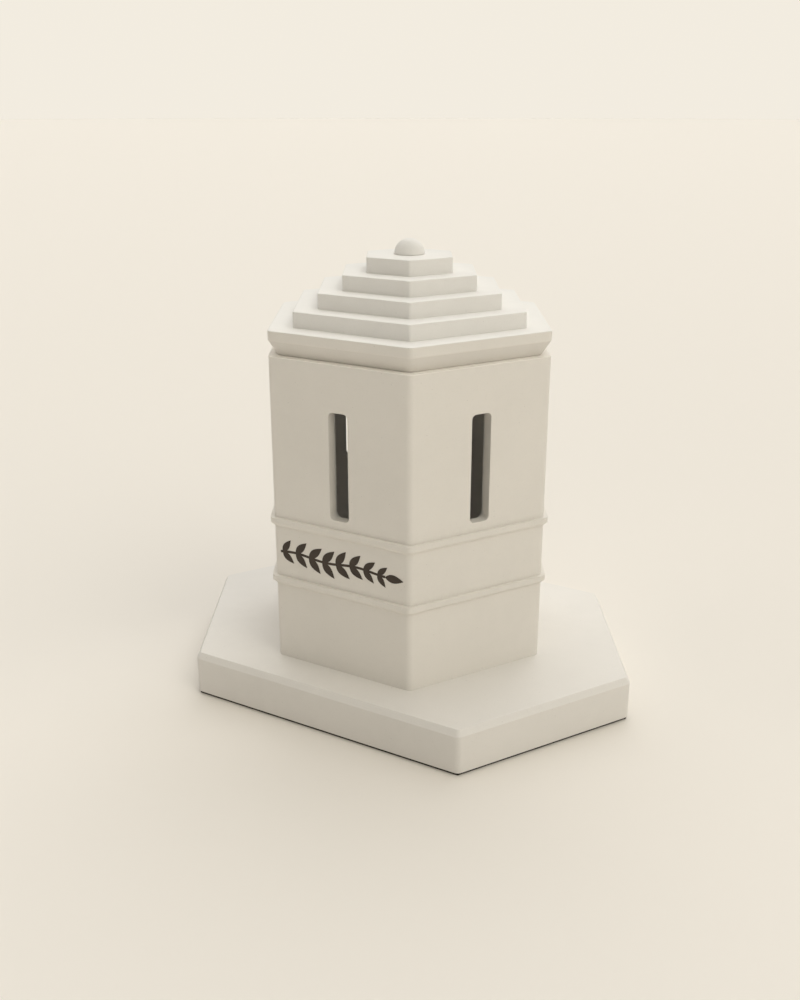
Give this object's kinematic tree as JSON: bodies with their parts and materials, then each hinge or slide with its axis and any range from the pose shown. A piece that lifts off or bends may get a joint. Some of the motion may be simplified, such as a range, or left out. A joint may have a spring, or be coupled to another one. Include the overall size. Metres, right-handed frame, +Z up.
{
  "type": "spice box",
  "caption": "Hexagonal spice tower with open slots on a broad flat plate, with a pale inner canister and a stepped roof that lifts off for filling.",
  "frame": {"origin": "centre of the underside of the pad, on the tower's axis", "axes": "+Z up along the tower's axis; +X along the plate's long diagonal; -Y out of the ornamented front face"},
  "size_m": [0.1184, 0.0822, 0.1076],
  "materials": {
    "tower_stone": "matte cream cast stone",
    "moulding_stone": "matte cream cast stone",
    "roof_stone": "matte cream cast stone",
    "collar_stone": "matte cream cast stone, unpolished",
    "finial_stone": "matte cream cast stone",
    "plate_stone": "matte cream cast stone",
    "leaf_glaze": "dark brown glaze, satin",
    "canister_metal": "pale matte enamel on drawn sheet",
    "screw_steel": "plain machined steel",
    "felt": "dark wool felt"
  },
  "bodies": {
    "stand": {"base_pad": "felt", "base_plate": "plate_stone", "base_screws": "screw_steel", "tower_body": "tower_stone", "lower_moulding": "moulding_stone", "upper_moulding": "moulding_stone", "spice_canister": "canister_metal"},
    "roof": {"roof_shell": "roof_stone", "roof_collar": "collar_stone", "finial": "finial_stone"}
  },
  "joints": [
    {"name": "roof_lift", "type": "slide", "parent": "stand", "child": "roof", "axis": [0, 0, 1], "range_m": [0, 0.08]}
  ]
}
